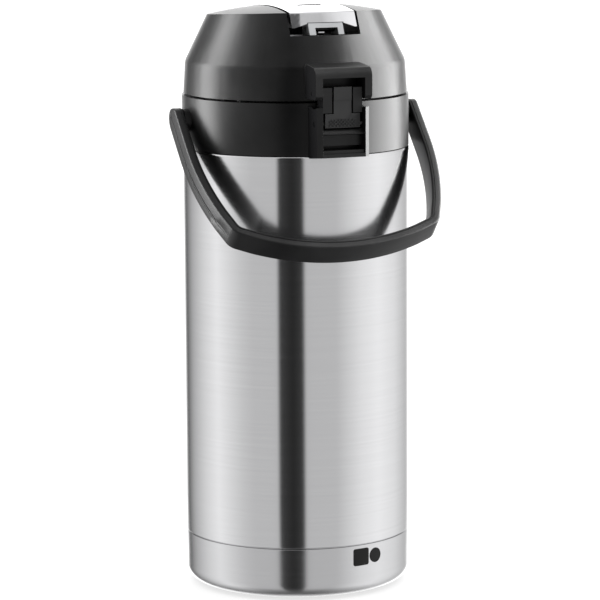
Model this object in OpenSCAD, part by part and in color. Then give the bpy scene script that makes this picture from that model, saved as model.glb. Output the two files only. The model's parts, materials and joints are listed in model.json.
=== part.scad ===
// Thermal coffee airpot, 3 litre class, lever pump, bail handle, removable
// hinged lid and swivelling base.
// Frame: origin at the centre of the face it rests on, +Z up,
// spout towards -Y, lid hinge towards +Y, handle pivots on the X axis.

/* [Vessel] */
// Outside diameter of the steel shell
shell_d = 150; // [148:0.5:151]
// Height of the seam between the base cup and the shell
seam_z = 35.2; // [33:0.2:38]
// Height at which the shell meets the collar
shell_top = 292.1; // [291.5:0.1:292.3]
// Radius of the rounded lower edge of the base cup
base_round = 10; // [8:0.5:12]
// Thickness of the shell's steel
wall = 1; // [0.8:0.1:1.2]
// Inside diameter of the vacuum liner
liner_d = 127; // [120:1:130]

/* [Collar and lid] */
// Height of the top edge of the collar
collar_top = 326; // [325.6:0.1:326.2]
// Gap between the collar and the lid
split_gap = 1.3; // [1:0.1:1.6]
// Radius of the lid at its lower edge
lid_r = 73.6; // [73:0.1:74]
// Height of the corner between the lid's side and its cone
corner_z = 348.2; // [347.5:0.1:349]
// Radius of that rounded corner
corner_round = 9; // [5:0.5:12]
// Lid wall thickness
lid_wall = 2.4; // [2.2:0.1:2.6]
// Radius of the crowned top
crown_r = 274; // [273:0.5:275]

/* [Handle] */
// Angle of the hanging handle from straight down, towards the rear
hang = 46.6; // [46.6:0.1:52]
// Width of the handle strap
strap_w = 16.2; // [14:0.2:17.6]
// Thickness of the handle strap
strap_t = 6; // [5.6:0.1:6.2]
// Distance from the pivot to the outside of the grip
grip_v = 119; // [119:0.1:126]

/* [Lever] */
// Half width of the pump lever
lever_hw = 22.2; // [21.4:0.1:22.6]
// Half width of the slot in the lid
slot_hw = 24; // [23.6:0.1:24.6]
// Front end of the lever, distance ahead of the axis
lever_front = 86; // [80:0.5:88]

/* [Hidden] */

$fn = 96;
shell_r = shell_d / 2;
cup_r = shell_r - 0.5;
col_r = shell_r - 0.3;
liner_r = liner_d / 2;
lid_z = collar_top + split_gap;
piv_z = 311;                        // handle pivot height
hin_y = 83; hin_z = 333;            // lid hinge axis
rel_y = 83.5; rel_z = 313.5;        // release lever axis
lat_y = -79.5; lat_z = 312;         // front latch axis
lev_y = 52; lev_z = 371.6;          // pump lever axis
push_y = -8;                        // where the lever bears on the pump
crown_y = 13.7;                     // crown centre, tilts the top forward
crown_z = 385.5 - sqrt(pow(274, 2) - pow(crown_y, 2));
cone_k = 0.485;                     // cone slope, radius lost per mm of height
run = 0.05;                         // running clearance, radial

black = [0.07, 0.07, 0.075];
steel = [0.74, 0.74, 0.75];
chrome = [0.9, 0.9, 0.92];

// ---------- helpers ----------
// points of a rounded corner b between a and c, radius r
function unit(v) = v / norm(v);
function round_pt(a, b, c, r, n = 6) =
  let (u = unit(a - b), w = unit(c - b),
       ang = acos(max(-1, min(1, u * w))),
       d = r / tan(ang / 2), cen = b + unit(u + w) * (r / sin(ang / 2)),
       p = b + u * d, q = b + w * d,
       a0 = atan2(p[1] - cen[1], p[0] - cen[0]),
       a1r = atan2(q[1] - cen[1], q[0] - cen[0]),
       da = a1r - a0, dd = da > 180 ? da - 360 : (da < -180 ? da + 360 : da))
  [for (i = [0:n]) cen + r * [cos(a0 + dd * i / n), sin(a0 + dd * i / n)]];

module tube_z(ro, ri, z0, z1) {
  translate([0, 0, z0]) difference() {
    cylinder(r = ro, h = z1 - z0);
    translate([0, 0, -1]) cylinder(r = ri, h = z1 - z0 + 2);
  }
}
module rod_z(r, z0, z1, x = 0, y = 0) translate([x, y, z0]) cylinder(r = r, h = z1 - z0);
module rod_x(r, x0, x1, y, z) translate([x0, y, z]) rotate([0, 90, 0]) cylinder(r = r, h = x1 - x0);
module rod_y(r, y0, y1, x, z) translate([x, y1, z]) rotate([90, 0, 0]) cylinder(r = r, h = y1 - y0);
module blk(x0, x1, y0, y1, z0, z1) translate([x0, y0, z0]) cube([x1 - x0, y1 - y0, z1 - z0]);
// a plate drawn in the Y-Z plane and given a width across X
module side_plate(x0, x1) translate([x0, 0, 0]) rotate([90, 0, 90]) linear_extrude(x1 - x0) children();
// closed helical coil of round wire along Z
module coil(r, wire, z0, z1, turns, seg = 20, sides = 8) {
  n = ceil(turns * seg);
  pts = [for (i = [0:n]) let (a = 360 * turns * i / n, z = z0 + wire + (z1 - z0 - 2 * wire) * i / n)
         for (k = [0:sides - 1]) let (b = 360 * k / sides)
         [(r + wire * cos(b)) * cos(a), (r + wire * cos(b)) * sin(a), z + wire * sin(b)]];
  side = [for (i = [0:n - 1]) for (k = [0:sides - 1]) let (k2 = (k + 1) % sides)
          each [[i * sides + k, (i + 1) * sides + k, (i + 1) * sides + k2],
                [i * sides + k, (i + 1) * sides + k2, i * sides + k2]]];
  cap0 = [[for (k = [0:sides - 1]) k]];
  cap1 = [[for (k = [sides - 1:-1:0]) n * sides + k]];
  polyhedron(points = pts, faces = concat(side, cap0, cap1), convexity = 4);
}

// ---------- swivelling base ----------
module swivel_plate() color(black) difference() {
  union() {
    rod_z(54, 1.6, 3.6);
    tube_z(55, 53.4, 1.0, 3.6);
  }
  rod_z(10 + run, 0, 5);
}
// plain pad stuck under the plate, relieved above for the screw and its washer
module foot_pad() color([0.1, 0.1, 0.1]) difference() {
  rod_z(53, 0, 1.6);
  rod_z(14, 0.25, 3);
}

// ---------- vessel ----------
// drawn cup with a step underneath that hides the swivel plate
module base_cup() color(steel) rotate_extrude() polygon(concat(
  [[10, 4.0], [56, 4.0], [57.2, 2.0], [cup_r - base_round - 1, 1.5]],
  round_pt([cup_r - base_round - 1, 1.5], [cup_r, 1.5], [cup_r, seam_z - 0.2], base_round, 10),
  [[cup_r, seam_z - 0.3], [cup_r - 0.6, seam_z], [cup_r - 0.6, seam_z + 6],
   [cup_r - 1.4, seam_z + 6], [cup_r - 1.4, seam_z - 2], [cup_r - 1, seam_z - 2.4]],
  round_pt([cup_r - 1, seam_z - 2.4], [cup_r - 1, 2.5], [cup_r - base_round - 1, 2.5], base_round - 1, 10),
  [[58, 2.9], [56.7, 5.0], [10, 5.0]]));
module outer_shell() color(steel) rotate_extrude() polygon([
  [shell_r, seam_z + 0.7], [shell_r, shell_top - 1.2], [shell_r - 0.35, shell_top - 0.45],
  [shell_r - 1.1, shell_top - 0.1], [shell_r - 4.6, shell_top - 0.1], [shell_r - 4.6, 299],
  [58, 305], [58, 316], [57, 316], [57, 304.3], [shell_r - 5.6, 298.3],
  [shell_r - 5.6, shell_top - 1.1], [shell_r - wall, shell_top - 1.4], [shell_r - wall, seam_z + 0.4],
  [shell_r - 0.3, seam_z + 0.4]]);
module flask_bottom() color(steel) {
  k = cup_r - 2.3; s = shell_r - wall;
  rotate_extrude() polygon([[0, 13], [k - 8, 13], [k, 21], [k, 43], [s, 45], [s, 54],
    [s - 1, 54], [s - 1, 45.6], [k - 1, 43.5], [k - 1, 21.4], [k - 8.4, 14], [0, 14]]);
}
module vacuum_liner() color(steel) {
  o = liner_r + 0.8;
  rotate_extrude() polygon(concat([[0, 20]],
    round_pt([0, 20], [o, 20], [o, 280], 14, 8),
    [[o, 282], [57, 295], [57, 316], [56.2, 316], [56.2, 294.7], [liner_r, 281.8]],
    round_pt([liner_r, 280], [liner_r, 20.8], [0, 20.8], 13.2, 8), [[0, 20.8]]));
}
module vacuum_seal_cap() color(steel) { rod_z(7, 11.6, 13, 28, 0); rod_z(4, 10.6, 11.6, 28, 0); }
module swivel_hub() color(black) difference() {
  union() { rod_z(10, 1.9, 5.0); rod_z(17, 5.0, 7.5); }
  rod_z(2.5, 1, 9);
}
module glide_ring() color([0.9, 0.9, 0.88]) tube_z(50, 42, 3.65, 4.0);
module hub_washer() color(steel) tube_z(13.5, 2.5, 0.9, 1.5);
module hub_screw() color(steel) difference() {
  union() { rod_z(4.6, 0.3, 0.9); rod_z(2.5, 0.9, 9.5); }
  rod_z(1.6, 0, 0.55);
}
module neck_gasket() color([0.85, 0.85, 0.83]) tube_z(61, 58, 305.0, 306.6);

// outline of the rear hinge housing on the collar
module collar() color(black) difference() {
  union() {
    tube_z(col_r, 70.6, shell_top, collar_top);
    tube_z(71, 58, 305.4, 308);
    for (a = [45:90:315]) rotate([0, 0, a]) rod_z(3.4, 303.0, 306, 66.4, 0);
    // handle bosses
    rod_x(7.5, 71, 78.4, 0, piv_z); rod_x(7.5, -78.4, -71, 0, piv_z);
    // rear hinge housing
    intersection() {
      translate([0, 0, shell_top + 0.4]) linear_extrude(324.3 - shell_top - 0.4)
        polygon([[-17.6, 66], [17.6, 66], [17.6, 88.8], [14.6, 91], [-14.6, 91], [-17.6, 88.8]]);
      difference() { rod_z(120, 280, 330); rod_z(70.6, 270, 340); }
    }
    // front latch housing
    intersection() {
      blk(-17, 17, -84, -66, 299.5, 323.6);
      difference() { rod_z(120, 280, 330); rod_z(70.6, 270, 340); }
    }
  }
  // pin seats for the handle
  rod_x(4, 68, 79.5, 0, piv_z); rod_x(4, -79.5, -68, 0, piv_z);
  // rebate for the neck gasket
  rod_z(61, 300, 306.6);
  for (a = [45:90:315]) rotate([0, 0, a]) rod_z(1.4, 303, 310, 66.4, 0);
  // rear pocket with its ledges left standing
  difference() {
    blk(-14.3, 14.3, 76.2, 95, 297, 330);
    side_plate(-14.3, 14.3) polygon([[76, 306.9], [88.6, 306.9], [88.6, 307.6], [86.4, 310.4], [76, 310.4]]);
    blk(-14.3, 14.3, 76, 84.6, 299.5, 306.2);
    for (s = [-1, 1]) translate([s * 10.2, 0, 0]) blk(-3.1, 3.1, 76, 88, 320.7, 330);
  }
  blk(-14.3, 14.3, 89.6, 95, 294.8, 298);
  // room for the hood to turn over the housing
  difference() { rod_x(9.9, -30, 30, hin_y, hin_z); blk(-13.6, 13.6, 75, 95, 310, 340); }
  rod_x(1.5, -16.6, 16.6, rel_y, rel_z);
  for (s = [-1, 1]) translate([s * 17.6, 0, 0]) rod_x(1.9, -0.5, 0.5, rel_y, rel_z);
  // front pocket
  blk(-13.4, 13.4, -95, -76.4, 302, 330);
  rod_x(1.5, -15.6, 15.6, lat_y, lat_z);
  // slot for the lid's catch tab
  blk(-10.6, 10.6, -76.5, -70.4, 313, 330);
}
module collar_fingers() {
  for (s = [-1, 1]) translate([s * 10.2, 0, 0]) difference() {
    union() {
      blk(-3.1, 3.1, 78, 88, 322, 335);
      blk(-3.1, 3.1, 85.8, 88, 330, 336.8);
      rod_x(4.9, -3.1, 3.1, hin_y, hin_z - 0.9);
    }
    rod_x(2.5 + run, -4, 4, hin_y, hin_z);
    blk(-4, 4, hin_y - 2.55, hin_y + 2.55, hin_z, 345);
  }
}
module collar_all() { collar(); color(black) collar_fingers(); }
module neck_ring() color(steel) difference() {
  tube_z(70, 58, 308, 311);
  for (a = [45:90:315]) rotate([0, 0, a]) rod_z(1.6, 300, 320, 66.4, 0);
}
module collar_screws() color(steel) for (a = [45:90:315]) rotate([0, 0, a]) difference() {
  union() { rod_z(1.4, 303.4, 311, 66.4, 0); rod_z(3, 311, 313, 66.4, 0); }
  translate([66.4 - 2.2, -0.4, 312.3]) cube([4.4, 0.8, 2]);
  translate([66.4 - 0.4, -2.2, 312.3]) cube([0.8, 4.4, 2]);
}
module stem_cup() color([0.13, 0.13, 0.13]) difference() {
  rotate_extrude() polygon([[59.5, 316], [59.5, 317.2], [54.6, 317.2], [14.6, 301], [14.6, 298.2],
    [0, 298.2], [0, 296.2], [16, 296.2], [16, 299.6], [55.2, 315.4], [55.2, 316]]);
  rod_z(4.5, 290, 305);
  for (a = [0:60:300]) rotate([0, 0, a]) rod_z(2.6, 290, 305, 10, 0);
}
module dip_tube() color(steel) difference() {
  union() { rod_z(4.5, 27, 312.4); rod_z(7, 310.6, 312.4); rod_z(6.2, 298.2, 301.2); }
  rod_z(3.3, 20, 320);
  translate([0, 0, 27]) rotate([0, 45, 0]) cube([5, 12, 5], center = true);
}
module stem_gasket() color([0.85, 0.85, 0.83]) tube_z(7.4, 3.6, 312.4, 314.9);
module handle_pins() color(steel) {
  for (s = [0, 1]) mirror([s, 0, 0]) rod_x(4, 70.6, 82.8, 0, piv_z);
}
module release_pin() color(steel) rod_x(1.5, -16.4, 16.4, rel_y, rel_z);
// torsion spring wound on the release pin, with one leg on the collar
module release_spring() color(steel) {
  translate([-4.6, rel_y, rel_z]) rotate([0, 90, 0]) coil(2.5, 0.4, 0, 9.2, 7.5, 16, 6);
}
module latch_pin() color(steel) rod_x(1.5, -15.4, 15.4, lat_y, lat_z);
module latch_spring() color(steel) {
  translate([-4.6, lat_y, lat_z]) rotate([0, 90, 0]) coil(2.4, 0.4, 0, 9.2, 7.5, 16, 6);
}
// blank stick-on patches on the base cup: a rounded square and a disc
module blank_decals() color([0.05, 0.05, 0.05]) {
  rotate([0, 0, 13.8]) intersection() {
    tube_z(cup_r + 0.25, cup_r, 15, 34);
    translate([0, cup_r + 6, 27.1]) rotate([90, 0, 0]) linear_extrude(12) union() {
      square([9, 11.4], center = true); square([12, 8.4], center = true);
      for (x = [-4.5, 4.5], y = [-4.2, 4.2]) translate([x, y]) circle(r = 1.5, $fn = 32);
    }
  }
  rotate([0, 0, 22.9]) intersection() {
    tube_z(cup_r + 0.25, cup_r, 15, 34);
    rod_y(4.85, cup_r - 6, cup_r + 6, 0, 26.8);
  }
}

// ---------- handle ----------
arm_x = 85; arm_R = 180; arm_v = 30; grip_R = 150;
function arm_pt(off, v) = [arm_x - arm_R + sqrt(pow(arm_R - off, 2) - pow(max(0, v - arm_v), 2)), v];
function grip_pt(off, u) = [u, grip_v - grip_R + sqrt(pow(grip_R - off, 2) - u * u)];
// height on the arm at which it meets the grip's arc
function meet(off, v, n = 24) = n == 0 ? v :
  meet(off, grip_pt(off, arm_pt(off, v)[0])[1], n - 1);
function half_outline(off, rr) =
  let (m = meet(off, 98), c = arm_pt(off, m), a = arm_pt(off, m - 14), b = grip_pt(off, c[0] - 14))
  concat([for (i = [0:10]) arm_pt(off, (m - 14) * i / 10)],
         round_pt(a, c, b, rr, 6),
         [for (i = [0:12]) grip_pt(off, (c[0] - 14) * (1 - i / 12))]);
module bail_handle() color(black) {
  o = half_outline(0, 9); i = half_outline(strap_t, 5);
  translate([0, 0, piv_z]) rotate([hang, 0, 0]) difference() {
    // drawn in the X-Z plane with the grip downwards, strap width along Y
    union() {
      rotate([90, 0, 0]) translate([0, 0, -strap_w / 2]) linear_extrude(strap_w) polygon(concat(
        [for (p = o) [p[0], -p[1]]], [for (k = [len(o) - 2:-1:0]) [-o[k][0], -o[k][1]]],
        [for (p = i) [-p[0], -p[1]]], [for (k = [len(i) - 2:-1:0]) [i[k][0], -i[k][1]]]));
      // rounded upper ends of the arms
      for (s = [-1, 1]) translate([s * (arm_x - strap_t / 2), 0, 0]) rotate([0, 90, 0])
        cylinder(r = strap_w / 2, h = strap_t, center = true);
      // bosses facing the collar
      for (s = [0, 1]) mirror([s, 0, 0]) rod_x(7.4, 78.6, 80, 0, 0);
    }
    for (s = [0, 1]) mirror([s, 0, 0]) rod_x(4 + run, 70, 83, 0, 0);
  }
}

// ---------- lid ----------
function side_z(z) = lid_r - (z - lid_z) * 0.062;
function lid_profile(off, zb) =
  let (c = [side_z(corner_z) - off, corner_z - off * 0.3],
       top = [c[0] - cone_k * (395 - c[1]), 395])
  concat([[0, zb], [side_z(zb) - off, zb]],
         round_pt([side_z(zb) - off, zb], c, top, corner_round, 6), [top, [0, 395]]);
module lid_solid(off, zb) intersection() {
  rotate_extrude() polygon(lid_profile(off, zb));
  translate([0, crown_y, crown_z]) sphere(r = crown_r - off, $fn = 200);
}
// the lid's conical shoulder, brought inwards by off
module cone_side(off) {
  r0 = side_z(corner_z) - off;
  translate([0, 0, corner_z]) cylinder(r1 = r0, r2 = r0 - cone_k * 46, h = 46);
}
module lever_slot() side_plate(-slot_hw, slot_hw)
  polygon([[80, 368], [46, 368], [-95, 338.5], [-95, 400], [80, 400]]);
module lid_cover() color(black) difference() {
  union() {
    difference() {
      lid_solid(0, lid_z);
      difference() {
        lid_solid(lid_wall, lid_z - 1);
        // walls of the lever's well
        difference() { blk(-slot_hw - 2, slot_hw + 2, -68, 64, 341, 390); lever_slot(); blk(-slot_hw - 1, slot_hw + 1, -64, 46, 340, 390);
          blk(-slot_hw - 3, slot_hw + 3, -64, 46, 340, 367); }
        // screw bosses
        for (x = [-51, 51], y = [-34, 34]) rod_z(4, 321.5, 380, x, y);
      }
    }
    // hinge hood
    intersection() {
      side_plate(-19.1, 19.1) polygon(concat(
        [[69.5, 329.3], [69.5, 351.2]],
        round_pt([69.5, 351.2], [91, 349.4], [91, 335], 6.4, 8),
        [[91, 331.5], [88.9, 329.3]]));
      difference() { rod_z(130, 300, 380); rod_z(70.4, 290, 390); }
      // rounded outer upper corners
      translate([0, 110, 0]) rotate([90, 0, 0]) linear_extrude(60)
        polygon([[-19.1, 320], [19.1, 320], [19.1, 349.2], [17.9, 351.4], [-17.9, 351.4], [-19.1, 349.2]]);
    }
    // catch tab at the front
    intersection() { blk(-10, 10, -76, -70.8, 315, 329.5); difference() { rod_z(76.2, 310, 340); rod_z(70.8, 300, 350); } }
  }
  lever_slot();
  // seat of the lever's bracket
  blk(-12.2, 12.2, 40, 58, 361.9, 372);
  // pocket of the hood
  blk(-14.3, 14.3, 74, 95, 320, 343);
  rod_x(2.5, -17.4, 17.4, hin_y, hin_z);
  for (s = [-1, 1]) translate([s * 19.1, 0, 0]) rod_x(1.3, -0.4, 0.4, hin_y, hin_z);
  for (x = [-51, 51], y = [-34, 34]) rod_z(1.4, 318, 332, x, y);
  // passage of the spout tube
  rod_y(4.4, -90, -55, 0, 332.4);
}
module lid_plate() color([0.12, 0.12, 0.12]) difference() {
  rod_z(66, 319, 321.5);
  rod_z(6.6, 310, 330);
  for (x = [-51, 51], y = [-34, 34]) rod_z(1.6, 310, 330, x, y);
  for (a = [30:60:330]) rotate([0, 0, a]) rod_z(3, 310, 330, 24, 0);
}
module lid_gasket() color([0.85, 0.85, 0.83]) tube_z(58, 50, 317.3, 319);
module lid_screws() color(steel) for (x = [-51, 51], y = [-34, 34]) difference() {
  union() { rod_z(1.4, 319, 331, x, y); rod_z(2.8, 317.4, 319, x, y); }
  translate([x - 2, y - 0.4, 317]) cube([4, 0.8, 1]);
  translate([x - 0.4, y - 2, 317]) cube([0.8, 4, 1]);
}
// light plastic bracket that carries the lever at the rear of its well
module lever_bracket() color([0.62, 0.63, 0.64]) difference() {
  union() {
    intersection() {
      union() {
        for (s = [-1, 1]) translate([s * 9.7, 0, 0]) side_plate(-2.1, 2.1)
          polygon([[47, 364], [57.4, 364], [57.4, 368.4], [64, 368.4], [64, 376], [50, 376], [47, 372.5]]);
        blk(-8, 8, 56, 64, 372.9, 376);
      }
      cone_side(0.4);
    }
    blk(-11.8, 11.8, 43, 57, 362, 365.4);
  }
  rod_x(1.8, -14, 14, lev_y, lev_z);
}
module lever_pin() color(steel) rod_x(1.8, -11.6, 11.6, lev_y, lev_z);
module hinge_pin() color(steel) rod_x(2.5, -17.3, 17.3, hin_y, hin_z);
module pump_base() color([0.14, 0.14, 0.14]) difference() {
  union() {
    tube_z(46, 44, 321.5, 338.5);
    rod_z(46, 336.8, 338.5);
    tube_z(33.8, 32.2, 338.5, 341);
    tube_z(12.2, 10.4, 338.5, 341);
  }
  blk(-5.4, 5.4, -50, -40, 321, 338);
  rod_z(2.4, 330, 345, 0, 24);
  for (a = [0:60:300]) translate([0, 24, 0]) rotate([0, 0, a]) rod_z(1.2, 330, 345, 6, 0);
}
module air_valve() color([0.8, 0.8, 0.78]) {
  rod_z(9, 335.9, 336.8, 0, 24); rod_z(2.4, 336.8, 339.2, 0, 24); rod_z(3.6, 338.5, 339.7, 0, 24);
}
module bellows() color([0.16, 0.16, 0.16]) {
  n = 4; z0 = 338.5; z1 = 361.2; h = (z1 - z0) / n; t = 1.4;
  out = concat([[42.6, z0]], [for (i = [0:n - 1]) each [[35.6, z0 + h * (i + 0.5)], [42.6, z0 + h * (i + 1)]]]);
  m = len(out) - 1;
  rotate_extrude() polygon(concat(out, [[42.6, z1 + 0.8], [30, z1 + 0.8], [30, z1]],
    [for (i = [m:-1:0]) [out[i][0] - t, out[i][1]]]));
}
module pump_spring() color(steel) coil(15, 0.9, 338.5, 361.9, 5, 24, 8);
module spout_nose() color(black) difference() {
  intersection() {
    translate([0, 0, 326.8]) linear_extrude(14) polygon(concat([[-17.5, -60], [17.5, -60]],
      [for (i = [0:24]) let (a = 3 - 186 * i / 24) [15 * cos(a), -112 + 15 * sin(a)]]));
    side_plate(-20, 20) polygon(concat([[-60, 326.8], [-60, 338.2]], round_pt([-60, 338.2], [-120, 338.2], [-128, 326.8], 12, 6), [[-128, 326.8]]));
    difference() {
      rod_z(200, 320, 350);
      translate([0, 0, lid_z - 2]) cylinder(r1 = side_z(lid_z - 2), r2 = side_z(342), h = 344 - lid_z);
    }
  }
  rod_y(4.4, -112, -60, 0, 332.4);
  rod_z(6.5, 320, 335.4, 0, -112);
  // clearance round the lid's catch tab
  blk(-10.2, 10.2, -76.4, -68, 320, 329.7);
}
module spout_tube() color([0.8, 0.8, 0.78]) difference() {
  union() {
    rod_z(6.2, 315, 319.2); rod_z(4.2, 319, 332.4); translate([0, 0, 332.4]) sphere(r = 4.2, $fn = 64);
    rod_y(4.2, -108, 0, 0, 332.4);
  }
  rod_z(3, 300, 332.4); translate([0, 0, 332.4]) sphere(r = 3, $fn = 64);
  rod_y(3, -120, 0, 0, 332.4);
}
module spout_nozzle() color([0.1, 0.1, 0.1]) difference() {
  union() { rod_z(6.4, 318, 335.3, 0, -112); rod_z(7.6, 316, 326.8, 0, -112); rod_z(5.2, 305, 318, 0, -112); }
  rod_z(3.6, 300, 332.8, 0, -112);
  rod_y(3, -113, -100, 0, 332.4);
  rod_y(4.2, -108.2, -100, 0, 332.4);
}

// ---------- pump lever ----------
module lever_side(d) side_plate(-30, 30) polygon([
  [66, 372.9], [66, 388], [0, 388], [-lever_front + 0.5, 376], [-lever_front, 372.2],
  [-lever_front + 0.4, 366], [-60, 369.5], [0, 373.6], [44, 372.9]]);
module lever_body(off) intersection() {
  translate([0, crown_y, crown_z]) sphere(r = crown_r + 0.2 - off, $fn = 200);
  side_plate(-30, 30) polygon([[70, 300], [70, 420], [-60, 420], [-60, 300]]);
}
// upper surface: crown over the lid, then a straight run to the front edge
module lever_top(off) union() {
  lever_body(off);
  side_plate(-30, 30) polygon([[-30, 300], [-30, 381.9 - off], [-lever_front - 10, 370.2 - off], [-lever_front - 10, 300]]);
}
// rear face flush with the lid's shoulder
module lever_shell(off) intersection() {
  lever_top(off);
  union() { cone_side(off); blk(-30, 30, -lever_front - 10, 0, 340, 400); }
}
module lever() color(chrome) difference() {
  union() {
    difference() {
      intersection() { lever_shell(0); lever_side(0); blk(-lever_hw, lever_hw, -lever_front, 70, 350, 400); }
      // hollow underside
      intersection() {
        lever_shell(1.8); blk(-lever_hw + 1.6, lever_hw - 1.6, -lever_front + 1.8, 70, 350, 400);
      }
    }
    // knuckle between the legs of the bracket
    difference() {
      side_plate(-2, 2) union() {
        polygon([[48.8, 371.6], [55.2, 371.6], [53.6, 390], [45.5, 390]]);
        translate([lev_y, lev_z]) circle(r = 3.4, $fn = 48);
      }
      difference() { blk(-10, 10, 30, 80, 376, 400); lever_body(0.6); }
    }
    // rounded nose that bears on the pump
    rod_x(4, -8, 8, push_y, 374);
    intersection() { for (x = [-7, 7]) blk(x - 1, x + 1, push_y - 4, push_y + 4, 374, 385); lever_top(0.6); }
    // floor of the lock's recess
    intersection() { blk(-10.6, 10.6, 22, 46, 370, 390); difference() { lever_top(3.4); lever_top(5); } }
    intersection() { difference() { blk(-10.2, 10.2, 22.4, 45.6, 370, 390); blk(-8.6, 8.6, 24, 44, 360, 395); } difference() { lever_top(0.6); lever_top(5); } }
  }
  // recess for the lock slide
  intersection() { blk(-8.6, 8.6, 24, 44, 360, 400); difference() { translate([0, 0, 20]) lever_top(0); lever_top(3.4); } }
  rod_x(1.8 + run, -12, 12, lev_y, lev_z);
  // arch over the bracket in the rear wall
  translate([0, 72, 0]) rotate([90, 0, 0]) linear_extrude(22)
    polygon([[-21.2, 360], [-21.2, 372.7], [-12.4, 375.6], [-12.4, 376.3], [12.4, 376.3], [12.4, 375.6], [21.2, 372.7], [21.2, 360]]);
  // slot in the recess floor for the slide's stem
  blk(-2.2, 2.2, 28.7, 39.3, 360, 400);
}
module lock_slide() color(chrome) {
  intersection() { blk(-8.2, 8.2, 29.3, 43.7, 370, 400); difference() { lever_top(0.15); lever_top(3.2); } }
  intersection() { blk(-2, 2, 34, 39, 370, 400); difference() { lever_top(0.7); lever_top(7.2); } }
  intersection() { blk(-4, 4, 33, 40, 370, 400); difference() { lever_top(5.45); lever_top(6.8); } }
}

// ---------- pump plate ----------
module pump_plate() color([0.14, 0.14, 0.14]) {
  rod_z(33, 362, 364.6); translate([0, push_y, 0]) rod_z(9, 364, 369.9);
  tube_z(14, 12.4, 359.2, 362.5);
}

// ---------- rear release lever ----------
module release_lever() color(black) difference() {
  union() {
    blk(-6, 6, 85.6, 88, 319, 336);
    blk(-6, 6, 85.6, 88.5, 329, 337.2);
    blk(-6, 6, 81.6, 88.5, 335.65, 337.2);
    blk(-11.8, 11.8, 85, 88, 311.2, 320.2);
    for (s = [-1, 1]) translate([s * 8.6, 0, 0]) rod_x(3, -3, 3, rel_y, rel_z);
    // plain raised grip points
    for (x = [-8.4:2.4:8.4], z = [312.6, 314.9]) rod_y(0.6, 87.5, 88.45, x, z);
    for (x = [-7.2:2.4:7.2], z = [313.75, 316.05]) rod_y(0.6, 87.5, 88.45, x, z);
  }
  rod_x(1.5 + run, -14, 14, rel_y, rel_z);
  rod_x(3.2, -5.4, 5.4, rel_y, rel_z);
}

// ---------- front latch ----------
module latch_lever() color(black) difference() {
  union() {
    blk(-12.9, 12.9, -85, -82.5, 303, 325.4);
    blk(-9, 9, -84, -77.2, 322.2, 325.4);
    for (s = [-1, 1]) translate([s * 9.6, 0, 0]) rod_x(2.9, -3.2, 3.2, lat_y, lat_z);
    for (s = [-1, 1]) translate([s * 9.6, 0, 0]) blk(-3.2, 3.2, -83, lat_y, 310, 314);
    for (z = [304.4:2.2:309]) blk(-10, 10, -85.6, -84.5, z, z + 1);
  }
  rod_x(1.5 + run, -14, 14, lat_y, lat_z);
}

swivel_plate();
foot_pad();
outer_shell();
base_cup();
flask_bottom();
vacuum_liner();
vacuum_seal_cap();
swivel_hub();
glide_ring();
hub_washer();
hub_screw();
neck_gasket();
collar_all();  // collar
neck_ring();
collar_screws();
stem_cup();
dip_tube();
stem_gasket();
handle_pins();
release_pin();
release_spring();
latch_pin();
latch_spring();
blank_decals();
bail_handle();
lid_cover();
lid_plate();
lid_gasket();
lid_screws();
lever_bracket();
lever_pin();
hinge_pin();
pump_base();
air_valve();
bellows();
pump_spring();
spout_nose();
spout_tube();
spout_nozzle();
lever();
lock_slide();
pump_plate();
release_lever();
latch_lever();
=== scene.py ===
import bpy, bmesh, math, json
from mathutils import Vector, Matrix

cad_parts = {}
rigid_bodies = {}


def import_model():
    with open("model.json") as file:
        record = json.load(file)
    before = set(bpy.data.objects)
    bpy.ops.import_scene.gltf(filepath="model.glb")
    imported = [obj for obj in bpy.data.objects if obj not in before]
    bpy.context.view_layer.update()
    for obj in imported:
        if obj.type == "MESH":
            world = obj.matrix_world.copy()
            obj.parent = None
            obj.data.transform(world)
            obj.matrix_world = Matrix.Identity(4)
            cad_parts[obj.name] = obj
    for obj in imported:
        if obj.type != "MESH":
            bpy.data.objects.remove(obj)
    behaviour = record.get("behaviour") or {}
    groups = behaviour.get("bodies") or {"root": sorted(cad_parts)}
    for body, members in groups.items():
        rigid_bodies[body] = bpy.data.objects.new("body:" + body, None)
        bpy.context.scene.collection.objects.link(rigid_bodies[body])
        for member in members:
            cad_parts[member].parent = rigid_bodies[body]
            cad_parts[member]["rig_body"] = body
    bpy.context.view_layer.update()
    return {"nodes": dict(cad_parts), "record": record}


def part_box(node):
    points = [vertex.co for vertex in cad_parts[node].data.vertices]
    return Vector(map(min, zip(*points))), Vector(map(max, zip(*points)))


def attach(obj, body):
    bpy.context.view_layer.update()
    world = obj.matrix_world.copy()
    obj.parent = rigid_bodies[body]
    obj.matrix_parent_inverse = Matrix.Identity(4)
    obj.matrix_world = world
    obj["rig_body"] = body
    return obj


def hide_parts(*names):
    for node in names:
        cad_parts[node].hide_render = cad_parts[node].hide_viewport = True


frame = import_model()
nodes = frame["nodes"]
MM = 0.001
scene = bpy.context.scene
plastics = bpy.data.collections.new("plastic_pieces")

# ------------------------------------------------------------------ node helpers
def new_mat(name):
    m = bpy.data.materials.new(name)
    m.use_nodes = True
    nt = m.node_tree
    nt.nodes.clear()
    out = nt.nodes.new("ShaderNodeOutputMaterial")
    p = nt.nodes.new("ShaderNodeBsdfPrincipled")
    nt.links.new(p.outputs[0], out.inputs[0])
    return m, nt, p


def obj_coords(nt, scale):
    tc = nt.nodes.new("ShaderNodeTexCoord")
    mp = nt.nodes.new("ShaderNodeMapping")
    mp.inputs["Scale"].default_value = scale
    nt.links.new(tc.outputs["Object"], mp.inputs["Vector"])
    return mp.outputs["Vector"]


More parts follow.
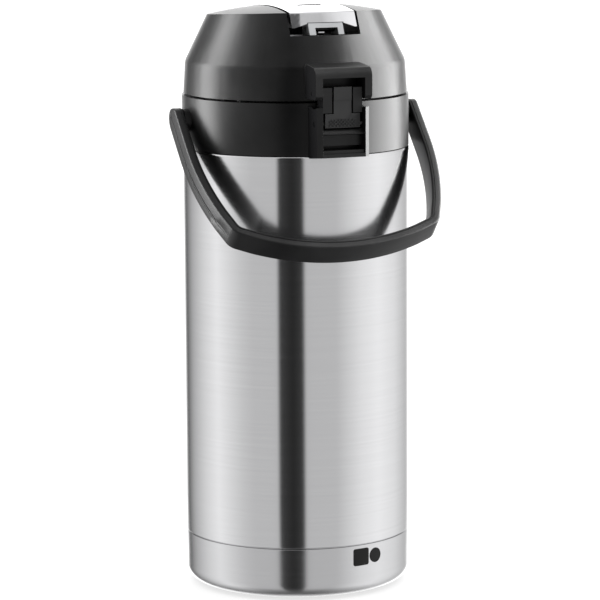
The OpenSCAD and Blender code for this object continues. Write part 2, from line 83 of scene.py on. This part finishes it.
def noise(nt, vec, scale=1.0, detail=3.0, rough=0.5, dist=0.0):
    n = nt.nodes.new("ShaderNodeTexNoise")
    n.inputs["Scale"].default_value = scale
    n.inputs["Detail"].default_value = detail
    n.inputs["Roughness"].default_value = rough
    n.inputs["Distortion"].default_value = dist
    nt.links.new(vec, n.inputs["Vector"])
    return n.outputs["Fac"]


def remap(nt, val, a, b, lo=0.3, hi=0.7):
    r = nt.nodes.new("ShaderNodeMapRange")
    r.inputs["From Min"].default_value = lo
    r.inputs["From Max"].default_value = hi
    r.inputs["To Min"].default_value = a
    r.inputs["To Max"].default_value = b
    nt.links.new(val, r.inputs["Value"])
    return r.outputs["Result"]


def mix_col(nt, fac, c1, c2):
    x = nt.nodes.new("ShaderNodeMix")
    x.data_type = "RGBA"
    x.inputs["A"].default_value = (*c1, 1)
    x.inputs["B"].default_value = (*c2, 1)
    nt.links.new(fac, x.inputs["Factor"])
    return x.outputs["Result"]


def bump(nt, p, height, strength, dist_m, chain=None):
    b = nt.nodes.new("ShaderNodeBump")
    b.inputs["Strength"].default_value = strength
    b.inputs["Distance"].default_value = dist_m
    nt.links.new(height, b.inputs["Height"])
    if chain is not None:
        nt.links.new(chain, b.inputs["Normal"])
    nt.links.new(b.outputs[0], p.inputs["Normal"])
    return b.outputs[0]


def edge_wear(nt, lo=0.52, hi=0.60):
    g = nt.nodes.new("ShaderNodeNewGeometry")
    return remap(nt, g.outputs["Pointiness"], 0.0, 1.0, lo, hi)


def brushed(name, base, rough, aniso, streak, z_scale=2600.0, radial=True, bump_s=0.10, painted_foot_shade=False):
    m, nt, p = new_mat(name)
    p.inputs["Metallic"].default_value = 1.0
    v1 = obj_coords(nt, (14, 14, z_scale))
    v2 = obj_coords(nt, (5, 5, z_scale * 0.22))
    n1 = noise(nt, v1, 1.0, 2.0)
    n2 = noise(nt, v2, 1.0, 3.0)
    add = nt.nodes.new("ShaderNodeMath"); add.operation = "MULTIPLY_ADD"
    nt.links.new(n1, add.inputs[0]); add.inputs[1].default_value = 0.65
    hal = nt.nodes.new("ShaderNodeMath"); hal.operation = "MULTIPLY"
    nt.links.new(n2, hal.inputs[0]); hal.inputs[1].default_value = 0.35
    nt.links.new(hal.outputs[0], add.inputs[2])
    s = add.outputs[0]
    d = [c * (1 - streak) for c in base]
    col = mix_col(nt, remap(nt, s, 0, 1), d, base)
    if painted_foot_shade:
        # painted shade: the base colour darkens along the lowest edge, below about 3 mm
        sp = nt.nodes.new("ShaderNodeSeparateXYZ"); nt.links.new(obj_coords(nt, (1, 1, 1)), sp.inputs[0])
        sv = nt.nodes.new("ShaderNodeVectorMath"); sv.operation = "SCALE"
        nt.links.new(col, sv.inputs[0])
        nt.links.new(remap(nt, sp.outputs[2], 0.12, 1.0, 0.0022, 0.0042), sv.inputs["Scale"])
        col = sv.outputs[0]
    nt.links.new(col, p.inputs["Base Color"])
    nt.links.new(remap(nt, s, rough * 0.88, rough * 1.14), p.inputs["Roughness"])
    p.inputs["Anisotropic"].default_value = aniso
    t = nt.nodes.new("ShaderNodeTangent")
    t.direction_type = "RADIAL"; t.axis = "Z"
    nt.links.new(t.outputs[0], p.inputs["Tangent"])
    p.inputs["Anisotropic Rotation"].default_value = 0.25
    bump(nt, p, s, bump_s, 0.00003)
    return m


def plastic(name, base, rough, grain=1400.0, depth=0.00002, strength=0.35, level=0.5, wear=0.0, painted_flank_shade=False, painted_recess_shade=0.0):
    m, nt, p = new_mat(name)
    v = obj_coords(nt, (1, 1, 1))
    big = noise(nt, v, 38.0, 3.0)
    fine = noise(nt, v, grain, 2.0)
    lighter = [min(1, c * 1.35 + 0.004) for c in base]
    col = mix_col(nt, remap(nt, big, 0, 1), base, lighter)
    if wear > 0:
        w = edge_wear(nt)
        x = nt.nodes.new("ShaderNodeMix"); x.data_type = "RGBA"
        sc = nt.nodes.new("ShaderNodeMath"); sc.operation = "MULTIPLY"
        nt.links.new(w, sc.inputs[0]); sc.inputs[1].default_value = wear
        nt.links.new(sc.outputs[0], x.inputs["Factor"])
        nt.links.new(col, x.inputs["A"])
        x.inputs["B"].default_value = (*[c * 2.2 + 0.03 for c in base], 1)
        col = x.outputs["Result"]
    if painted_recess_shade > 0:
        # painted shade: the colour darkens by ambient occlusion where it sits down in a recess
        ao = nt.nodes.new("ShaderNodeAmbientOcclusion")
        ao.samples = 8
        ao.inputs["Distance"].default_value = 0.02
        x = nt.nodes.new("ShaderNodeMix"); x.data_type = "RGBA"
        nt.links.new(remap(nt, ao.outputs["AO"], 0.0, 1.0, 0.35, 0.8), x.inputs["Factor"])
        x.inputs["A"].default_value = (*[c * (1 - painted_recess_shade) for c in base], 1)
        nt.links.new(col, x.inputs["B"])
        col = x.outputs["Result"]
    nt.links.new(col, p.inputs["Base Color"])
    rg = remap(nt, big, rough * 0.93, rough * 1.08)
    p.inputs["Specular IOR Level"].default_value = level
    if painted_flank_shade:
        # painted shade on the flanks of the hinge housing: less specular, rougher, and mixed toward a near-black
        # diffuse where they sit in shade
        g = nt.nodes.new("ShaderNodeNewGeometry")
        sn = nt.nodes.new("ShaderNodeSeparateXYZ"); nt.links.new(g.outputs["Normal"], sn.inputs[0])
        sp = nt.nodes.new("ShaderNodeSeparateXYZ"); nt.links.new(obj_coords(nt, (1, 1, 1)), sp.inputs[0])
        ab = nt.nodes.new("ShaderNodeMath"); ab.operation = "ABSOLUTE"; nt.links.new(sn.outputs[0], ab.inputs[0])
        m1 = remap(nt, ab.outputs[0], 0.0, 1.0, 0.90, 0.97)
        m2 = remap(nt, sp.outputs[1], 0.0, 1.0, 0.0705, 0.0725)
        flank_shade_mask = nt.nodes.new("ShaderNodeMath"); flank_shade_mask.operation = "MULTIPLY"
        nt.links.new(m1, flank_shade_mask.inputs[0]); nt.links.new(m2, flank_shade_mask.inputs[1])
        nt.links.new(remap(nt, flank_shade_mask.outputs[0], level, 0.10, 0.0, 1.0), p.inputs["Specular IOR Level"])
        ad = nt.nodes.new("ShaderNodeMath"); ad.operation = "MULTIPLY_ADD"
        nt.links.new(flank_shade_mask.outputs[0], ad.inputs[0]); ad.inputs[1].default_value = 0.22
        nt.links.new(rg, ad.inputs[2])
        rg = ad.outputs[0]
        df = nt.nodes.new("ShaderNodeBsdfDiffuse")
        df.inputs["Color"].default_value = (0.006, 0.006, 0.0064, 1)
        ms = nt.nodes.new("ShaderNodeMixShader")
        pf = nt.nodes.new("ShaderNodeMath"); pf.operation = "MULTIPLY"
        nt.links.new(flank_shade_mask.outputs[0], pf.inputs[0]); pf.inputs[1].default_value = 0.85
        nt.links.new(pf.outputs[0], ms.inputs[0])
        nt.links.new(p.outputs[0], ms.inputs[1])
        nt.links.new(df.outputs[0], ms.inputs[2])
        out = [n for n in nt.nodes if n.type == "OUTPUT_MATERIAL"][0]
        nt.links.new(ms.outputs[0], out.inputs["Surface"])
    nt.links.new(rg, p.inputs["Roughness"])
    bump(nt, p, fine, strength, depth)
    return m


def metal(name, base, rough, scratch=0.15, scale=(60, 900, 60)):
    m, nt, p = new_mat(name)
    p.inputs["Metallic"].default_value = 1.0
    v = obj_coords(nt, scale)
    s = noise(nt, v, 1.0, 3.0)
    b = noise(nt, obj_coords(nt, (1, 1, 1)), 55.0, 4.0)
    nt.links.new(mix_col(nt, remap(nt, b, 0, 1), [c * 0.93 for c in base], base), p.inputs["Base Color"])
    nt.links.new(remap(nt, s, rough * (1 - scratch), rough * (1 + scratch * 2)), p.inputs["Roughness"])
    bump(nt, p, s, 0.06, 0.00002)
    return m


def soft(name, base, rough, trans=0.0):
    m, nt, p = new_mat(name)
    v = obj_coords(nt, (1, 1, 1))
    n = noise(nt, v, 90.0, 4.0)
    nt.links.new(mix_col(nt, remap(nt, n, 0, 1), [c * 0.88 for c in base], base), p.inputs["Base Color"])
    nt.links.new(remap(nt, n, rough * 0.9, rough * 1.1), p.inputs["Roughness"])
    if trans:
        p.inputs["Subsurface Weight"].default_value = trans
        p.inputs["Subsurface Radius"].default_value = (0.003, 0.003, 0.0028)
    bump(nt, p, noise(nt, v, 900.0, 2.0), 0.3, 0.00004)
    return m


M = {}
M["brushed_shell"] = brushed("shell_brushed_steel", (0.70, 0.70, 0.71), 0.16, 0.88, 0.06, bump_s=0.05)
# the base cup gets painted shade along its lowest edge
M["base_steel"] = brushed("base_satin_steel", (0.635, 0.635, 0.645), 0.20, 0.80, 0.05, 3200.0, bump_s=0.04, painted_foot_shade=True)
M["plain_steel"] = brushed("drawn_steel", (0.62, 0.62, 0.62), 0.34, 0.4, 0.06, 1800.0)
# satin black plastic; the flanks of the hinge housing get painted shade
M["collar_plastic"] = plastic("satin_black_plastic", (0.0013, 0.0013, 0.0014), 0.34, 1500.0, level=0.3, painted_flank_shade=True)
M["handle_plastic"] = plastic("handle_black_plastic", (0.0030, 0.0030, 0.0032), 0.38, 1100.0, 0.00003, 0.5, 0.3, wear=0.2)
M["black_plastic"] = plastic("moulded_black_plastic", (0.0035, 0.0035, 0.0037), 0.42, 1300.0, 0.00003, 0.5, 0.3, wear=0.2)
M["inner_plastic"] = plastic("matt_grey_black_plastic", (0.02, 0.02, 0.02), 0.5, 900.0, 0.00004, 0.5)
# light grey plastic with painted shade in its recesses
M["light_plastic"] = plastic("light_grey_plastic", (0.50, 0.51, 0.52), 0.38, 1200.0, painted_recess_shade=0.85)
M["rubber"] = soft("foot_rubber", (0.018, 0.018, 0.018), 0.75)
M["bellows_rubber"] = soft("bellows_rubber", (0.03, 0.03, 0.03), 0.6)
M["pale_seal"] = soft("pale_silicone", (0.62, 0.61, 0.57), 0.42, 0.2)
M["fastener_steel"] = metal("turned_steel", (0.58, 0.58, 0.58), 0.26)
M["spring_steel"] = metal("spring_wire", (0.50, 0.50, 0.52), 0.30)
M["lever_chrome"] = metal("bright_chrome", (0.74, 0.74, 0.755), 0.055, 0.5, (30, 700, 30))
M["decal"] = plastic("printed_film", (0.003, 0.003, 0.003), 0.30, 2600.0, 0.00001, 0.3, level=0.18)
M["black_oxide"] = metal("blackened_steel", (0.03, 0.03, 0.03), 0.38)
slot_of = {s["node"]: s["material_slot"] for s in frame["record"]["subparts"]}
PLASTIC_SLOTS = {"collar_plastic", "handle_plastic", "black_plastic"}

# ------------------------------------------------------------------ mesh helpers
def finish_piece(o, node, angle=32):
    body = nodes[node]["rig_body"]
    slot = slot_of[node]
    o.data.materials.clear()
    o.data.materials.append(M[slot])
    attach(o, body)
    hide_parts(node)
    if slot in PLASTIC_SLOTS:
        plastics.objects.link(o)
    return o


def link_mesh(name, me):
    o = bpy.data.objects.new(name, me)
    scene.collection.objects.link(o)
    return o


def apply_mods(o):
    dg = bpy.context.evaluated_depsgraph_get()
    dg.update()
    me = bpy.data.meshes.new_from_object(o.evaluated_get(dg))
    o.modifiers.clear()
    o.data = me


def smooth_by_angle(me, deg):
    for p in me.polygons:
        p.use_smooth = True
    me.set_sharp_from_angle(angle=math.radians(deg))


def crown_edges(bm, rad):
    """Edges where the crowned top meets the conical shoulder."""
    out = []
    for e in bm.edges:
        ok = True
        for v in e.verts:
            x, y, z = v.co.x / MM, v.co.y / MM, v.co.z / MM
            if abs(math.sqrt(x * x + (y - 13.7) ** 2 + (z - 111.843) ** 2) - rad) > 0.12 or abs(math.hypot(x, y) - (72.304 - 0.485 * (z - 348.2))) > 0.12:
                ok = False
        if ok:
            out.append(e)
    return out


def refine(node, width, segs=3, limit=32, name=None, crown=0.0, crown_w=2.6):
    """A new mesh built from a CAD node: welded, planar faces rejoined, edges rounded."""
    bm = bmesh.new()
    bm.from_mesh(nodes[node].data)
    bmesh.ops.remove_doubles(bm, verts=bm.verts, dist=2e-6)
    bmesh.ops.dissolve_limit(bm, angle_limit=math.radians(0.6), verts=bm.verts, edges=bm.edges)
    if crown:
        sel = crown_edges(bm, crown)
        if sel:
            bmesh.ops.bevel(bm, geom=sel, offset=crown_w * MM, offset_type="OFFSET", segments=5, profile=0.5, affect="EDGES", clamp_overlap=True)
    me = bpy.data.meshes.new((name or node) + "_v")
    bm.to_mesh(me)
    bm.free()
    o = link_mesh((name or node) + "_v", me)
    if width > 0:
        b = o.modifiers.new("edge", "BEVEL")
        b.width = width * MM
        b.segments = segs
        b.limit_method = "ANGLE"
        b.angle_limit = math.radians(limit)
        b.use_clamp_overlap = True
        b.miter_outer = "MITER_ARC"
        b.harden_normals = False
        apply_mods(o)
    smooth_by_angle(o.data, 40)
    w = o.modifiers.new("normals", "WEIGHTED_NORMAL")
    w.keep_sharp = True
    w.weight = 60
    return finish_piece(o, node)


def lathe(name, prof, n=256):
    """Closed profile of (r, z) in mm turned about Z."""
    bm = bmesh.new()
    rings = []
    for r, z in prof:
        if r < 1e-6:
            rings.append([bm.verts.new((0, 0, z * MM))])
        else:
            rings.append([bm.verts.new((r * MM * math.cos(2 * math.pi * i / n), r * MM * math.sin(2 * math.pi * i / n), z * MM)) for i in range(n)])
    k = len(rings)
    for a in range(k):
        A, B = rings[a], rings[(a + 1) % k]
        if len(A) == 1 and len(B) == 1:
            continue
        for i in range(n):
            j = (i + 1) % n
            if len(A) == 1:
                bm.faces.new((A[0], B[j], B[i]))
            elif len(B) == 1:
                bm.faces.new((A[i], A[j], B[0]))
            else:
                bm.faces.new((A[i], A[j], B[j], B[i]))
    bmesh.ops.recalc_face_normals(bm, faces=bm.faces)
    me = bpy.data.meshes.new(name)
    bm.to_mesh(me)
    bm.free()
    smooth_by_angle(me, 35)
    return link_mesh(name, me)


def arc(cx, cz, r, a0, a1, n):
    return [(cx + r * math.cos(math.radians(a0 + (a1 - a0) * i / n)), cz + r * math.sin(math.radians(a0 + (a1 - a0) * i / n))) for i in range(n + 1)]


# ------------------------------------------------------------------ steel shell and base cup
lo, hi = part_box("outer_shell")
R = hi.x / MM
z0, z1 = lo.z / MM, hi.z / MM
shell_prof = ([(R - 1.0, z0)] + arc(R - 0.8, z0 + 0.8, 0.8, -90, 0, 6) + [(R, z) for z in (60, 120, 180, 240)]
              + arc(R - 1.6, 290.4, 1.6, 0, 90, 7) + [(R - 4.6, 292.0), (R - 4.6, 299), (58, 305), (58, 316), (57, 316), (57, 304.3),
              (R - 5.6, 298.3), (R - 5.6, 291.2), (R - 1, 290.6), (R - 1, z0)])
finish_piece(lathe("shell_skin", shell_prof, 288), "outer_shell")
lo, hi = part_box("base_cup")
C = hi.x / MM
zb, zt = lo.z / MM, hi.z / MM
seam = zt - 6
cup_prof = ([(10, 4.0), (56, 4.0), (57.2, 2.0), (C - 11, 1.5), (C - 10.6, zb)] + arc(C - 10, zb + 10, 10, -88, 0, 18) + [(C, 24)]
            + arc(C - 0.8, seam - 0.95, 0.8, 0, 90, 6)
            + [(C - 0.85, seam - 0.1), (C - 0.85, zt), (C - 1.4, zt), (C - 1.4, seam - 3)]
            + [(C - 1, seam - 3.4)] + arc(C - 10, zb + 10, 9, 0, -88, 12) + [(58, 2.9), (56.7, 5.0), (10, 5.0)])
finish_piece(lathe("base_cup_skin", cup_prof, 288), "base_cup")

# ------------------------------------------------------------------ bail handle
def round_corner(a, b, c, r, n):
    u = (a - b).normalized(); w = (c - b).normalized()
    ang = math.acos(max(-1, min(1, u.dot(w))))
    d = r / math.tan(ang / 2)
    cen = b + (u + w).normalized() * (r / math.sin(ang / 2))
    p, q = b + u * d, b + w * d
    a0 = math.atan2(p.y - cen.y, p.x - cen.x)
    a1 = math.atan2(q.y - cen.y, q.x - cen.x)
    dd = a1 - a0
    dd = (dd + math.pi) % (2 * math.pi) - math.pi
    return [Vector((cen.x + r * math.cos(a0 + dd * i / n), cen.y + r * math.sin(a0 + dd * i / n))) for i in range(n + 1)]


HX, AR, AV, GR, GV, HW, HT, HANG, PZ = 85.0, 180.0, 30.0, 150.0, 119.0, 8.1, 6.0, math.radians(46.6), 311.0
def arm_pt(off, v): return Vector((HX - AR + math.sqrt((AR - off) ** 2 - max(0.0, v - AV) ** 2), v))
def grip_pt(off, u): return Vector((u, GV - GR + math.sqrt((GR - off) ** 2 - u * u)))
def outline(off, rr):
    v = 98.0
    for _ in range(30):
        v = grip_pt(off, arm_pt(off, v).x).y
    c = arm_pt(off, v)
    s = 10.0
    a, b = arm_pt(off, v - s), grip_pt(off, c.x - s)
    rc = round_corner(a, c, b, rr, 10)
    armv = (v - s)
    half = [arm_pt(off, armv * i / 22) for i in range(22)]
    half += rc
    half += [grip_pt(off, (c.x - s) * (1 - i / 20)) for i in range(1, 21)]
    return half


def build_handle():
    # rounded section: depth from the outside, place across the strap, share of the groove's depth
    sec = []
    rr = 1.05
    def corner(tx, wy, a0):
        for k in range(6):
            a = math.radians(a0 + 90 * k / 5)
            sec.append((tx + rr * math.cos(a), wy + rr * math.sin(a), 0))
    # fine grooves on the outer face, and a parting line along each side face
    outer = [(0.0, 2.35, 0), (0.22, 2.15, 1), (0.22, 1.95, 1), (0.0, 1.75, 0), (0.0, 0.75, 0), (0.38, 0.5, 1), (0.38, 0.05, 1), (0.0, -0.2, 0)]
    side = [(4.55, 0.0), (4.4, -0.4), (4.05, -0.4), (3.9, 0.0)]
    corner(HT - rr, HW - rr, 0)
    sec += [(t, HW + d, 0) for t, d in side]
    corner(rr, HW - rr, 90)
    sec += outer
    corner(rr, -HW + rr, 180)
    sec += [(t, -HW - d, 0) for t, d in reversed(side)]
    corner(HT - rr, -HW + rr, 270)
    steps = {}
    def ol(t):
        key = round(t, 4)
        if key not in steps:
            steps[key] = outline(t, 10.0 - t * 0.6)
        return steps[key]
    n = len(ol(0.0))
    bm = bmesh.new()
    rows = []
    cap = [-HW * math.cos(math.radians(a)) for a in (8, 18, 28, 38, 48, 58, 68, 79)]
    def place(u, v, w):
        # plane coordinates to the row frame, handle hanging at HANG from straight down
        y = v * math.sin(HANG) - w * math.cos(HANG)
        z = -v * math.cos(HANG) - w * math.sin(HANG)
        return (u * MM, y * MM, (PZ + z) * MM)
    def add_row(kind, idx, sgn):
        row = []
        if kind == "cap":
            g = max(0.0, min(1.0, (cap[idx] + 6.8) / 2.5))
        else:
            q = ol(0.0)[idx]
            g = max(0.0, min(1.0, (90.0 - q.y) / 9.0)) if idx < 22 else 0.0
        for t, w, dip in sec:
            if dip:
                t = t * g
            if kind == "cap":
                v = cap[idx]
                hw = math.sqrt(max(0, HW ** 2 - v * v)) / HW
                tt = t
                e = max(0.0, 1 - (1 - hw) * 0.0)
                u = HX - tt
                ww = w * hw
            else:
                p = ol(t)[idx]
                u, v, ww = p.x, p.y, w
            row.append(bm.verts.new(place(sgn * u, v, ww)))
        rows.append(row)
    for i in range(len(cap)):
        add_row("cap", i, 1)
    for i in range(n):
        add_row("arm", i, 1)
    for i in range(n - 2, -1, -1):
        add_row("arm", i, -1)
    for i in range(len(cap) - 1, -1, -1):
        add_row("cap", i, -1)
    m = len(sec)
    for a in range(len(rows) - 1):
        for k in range(m):
            k2 = (k + 1) % m
            bm.faces.new((rows[a][k], rows[a][k2], rows[a + 1][k2], rows[a + 1][k]))
    bm.faces.new(rows[0])
    bm.faces.new(list(reversed(rows[-1])))
    bmesh.ops.recalc_face_normals(bm, faces=bm.faces)
    me = bpy.data.meshes.new("handle_bail")
    bm.to_mesh(me); bm.free()
    smooth_by_angle(me, 30)
    return link_mesh("handle_bail", me)


finish_piece(build_handle(), "bail_handle")

# ------------------------------------------------------------------ refined CAD pieces
BEVEL = {"collar": 0.45, "lid_cover": 0.7, "lever": 0.45, "lever_bracket": 0.35, "release_lever": 0.3, "latch_lever": 0.5,
         "spout_nose": 0.8, "spout_nozzle": 0.35, "swivel_plate": 0.4, "foot_pad": 0.3, "lock_slide": 0.2}
for n in sorted(nodes):
    if n in ("outer_shell", "base_cup", "bail_handle"):
        continue
    refine(n, BEVEL.get(n, 0.15 if n not in ("release_spring", "latch_spring", "pump_spring", "blank_decals", "bellows") else 0.0),
           crown={"lid_cover": 274.0, "lever": 274.2}.get(n, 0.0), crown_w=2.8 if n == "lid_cover" else 1.0)

# ------------------------------------------------------------------ stage
bm = bmesh.new()
bmesh.ops.create_circle(bm, cap_ends=True, segments=96, radius=9.0)
me = bpy.data.meshes.new("floor"); bm.to_mesh(me); bm.free()
floor = link_mesh("floor", me)
floor.location.z = -0.0002
fm, nt, p = new_mat("pale_floor")
nt.links.new(mix_col(nt, remap(nt, noise(nt, obj_coords(nt, (1, 1, 1)), 6.0, 2.0), 0, 1), (0.50, 0.50, 0.50), (0.53, 0.53, 0.53)), p.inputs["Base Color"])
p.inputs["Roughness"].default_value = 0.9
p.inputs["Specular IOR Level"].default_value = 0.1
p.inputs["Emission Color"].default_value = (1, 1, 1, 1)
p.inputs["Emission Strength"].default_value = 0.72
floor.data.materials.append(fm)
floor.visible_glossy = False
floor.visible_shadow = False

# ------------------------------------------------------------------ camera
A = math.radians(20.0)
cdir = Vector((math.sin(A), math.cos(A), 0)); rdir = Vector((-math.cos(A), math.sin(A), 0))
D, H, TH, PSI, RHO, F = 2.180954, 0.524641, math.radians(8.7773), math.radians(0.0636), math.radians(-0.3368), 3316.138
def to_obj(x, y, z): return rdir * x - cdir * y + Vector((0, 0, z))
Fv = to_obj(math.sin(PSI) * math.cos(TH), math.cos(PSI) * math.cos(TH), -math.sin(TH))
Rv = to_obj(math.cos(PSI), -math.sin(PSI), 0)
Uv = Rv.cross(Fv)
Rr = Rv * math.cos(RHO) + Uv * math.sin(RHO)
Ur = Uv * math.cos(RHO) - Rv * math.sin(RHO)
cam_data = bpy.data.cameras.new("camera")
cam_data.lens = F / 600.0 * 36.0
cam_data.sensor_width = 36.0
cam_data.clip_start = 0.05
cam_data.clip_end = 60.0
cam = bpy.data.objects.new("camera", cam_data)
scene.collection.objects.link(cam)
pos = cdir * D + Vector((0, 0, H))
cam.matrix_world = Matrix(((Rr.x, Ur.x, -Fv.x, pos.x), (Rr.y, Ur.y, -Fv.y, pos.y), (Rr.z, Ur.z, -Fv.z, pos.z), (0, 0, 0, 1)))
scene.camera = cam

# ------------------------------------------------------------------ studio light
world = bpy.data.worlds.new("studio")
scene.world = world
world.use_nodes = True
nt = world.node_tree
nt.nodes.clear()
wo = nt.nodes.new("ShaderNodeOutputWorld")
bg_env = nt.nodes.new("ShaderNodeBackground")
bg_white = nt.nodes.new("ShaderNodeBackground")
bg_white.inputs[0].default_value = (1, 1, 1, 1)
bg_white.inputs[1].default_value = 1.0
lp = nt.nodes.new("ShaderNodeLightPath")
mx = nt.nodes.new("ShaderNodeMixShader")
nt.links.new(lp.outputs["Is Camera Ray"], mx.inputs[0])
nt.links.new(bg_env.outputs[0], mx.inputs[1])
nt.links.new(bg_white.outputs[0], mx.inputs[2])
nt.links.new(mx.outputs[0], wo.inputs[0])
tc = nt.nodes.new("ShaderNodeTexCoord")
def dot(vec):
    n = nt.nodes.new("ShaderNodeVectorMath"); n.operation = "DOT_PRODUCT"
    nt.links.new(tc.outputs["Generated"], n.inputs[0])
    n.inputs[1].default_value = vec
    return n.outputs["Value"]
at = nt.nodes.new("ShaderNodeMath"); at.operation = "ARCTAN2"
nt.links.new(dot(rdir), at.inputs[0])
nt.links.new(dot(cdir), at.inputs[1])
mr = nt.nodes.new("ShaderNodeMapRange")
mr.inputs["From Min"].default_value = -math.pi
mr.inputs["From Max"].default_value = math.pi
nt.links.new(at.outputs[0], mr.inputs["Value"])
ramp = nt.nodes.new("ShaderNodeValToRGB")
nt.links.new(mr.outputs[0], ramp.inputs[0])
# two broad soft boxes either side, a pale room between, and the dark gap where the camera stands
bands = [(-180, 2.0), (-165, 1.7), (-152, 0.25), (-148, 0.12), (-131, 0.46), (-107, 0.78), (-88, 0.97), (-58, 0.66), (-45, 0.58), (-19.5, 0.57), (-17, 0.045), (-4, 0.02),
         (6.5, 0.04), (9.2, 0.56), (41, 0.57), (69, 0.87), (92, 1.0), (118, 0.86), (138, 0.62), (150, 0.5), (165, 1.6), (180, 2.0)]
cr = ramp.color_ramp
cr.interpolation = "LINEAR"
while len(cr.elements) > 1:
    cr.elements.remove(cr.elements[-1])
cr.elements[0].position = 0.0
cr.elements[0].color = (bands[0][1],) * 3 + (1,)
for deg, val in bands[1:]:
    e = cr.elements.new(deg / 360.0 + 0.5)
    e.color = (val, val, val, 1)
# overhead soft box
up = nt.nodes.new("ShaderNodeMapRange")
up.inputs["From Min"].default_value = 0.72
up.inputs["From Max"].default_value = 0.9
nt.links.new(dot((0, 0, 1)), up.inputs["Value"])
top = nt.nodes.new("ShaderNodeMix"); top.data_type = "RGBA"
nt.links.new(up.outputs[0], top.inputs["Factor"])
nt.links.new(ramp.outputs[0], top.inputs["A"])
top.inputs["B"].default_value = (0.74, 0.74, 0.74, 1)
# the room falls dark below the counter's edge
dn = nt.nodes.new("ShaderNodeMapRange")
dn.inputs["From Min"].default_value = -0.68
dn.inputs["From Max"].default_value = -1.0
nt.links.new(dot((0, 0, 1)), dn.inputs["Value"])
low = nt.nodes.new("ShaderNodeMix"); low.data_type = "RGBA"
nt.links.new(dn.outputs[0], low.inputs["Factor"])
nt.links.new(top.outputs["Result"], low.inputs["A"])
low.inputs["B"].default_value = (0.12, 0.12, 0.12, 1)
nt.links.new(low.outputs["Result"], bg_env.inputs[0])
bg_env.inputs[1].default_value = 1.2


def softbox(name, az, dist, zc, w, h, power, tilt=0.0, only_plastic=True):
    d = (cdir * math.cos(math.radians(az)) + rdir * math.sin(math.radians(az)))
    la = bpy.data.lights.new(name, "AREA")
    la.shape = "RECTANGLE"
    la.size = w
    la.size_y = h
    la.energy = power
    o = bpy.data.objects.new(name, la)
    scene.collection.objects.link(o)
    o.location = d * dist + Vector((0, 0, zc))
    o.rotation_euler = (Vector((0, 0, 0.3)) - Vector((0, 0, zc * 0 + 0.3)) - d).to_track_quat("-Z", "Y").to_euler()
    o.visible_camera = False
    if only_plastic:
        o.light_linking.receiver_collection = plastics
    return o


softbox("left_box", -100, 1.6, 0.95, 0.75, 2.6, 70)
softbox("right_box", 101, 1.6, 1.1, 1.7, 2.6, 150)

scene.view_settings.view_transform = "Standard"
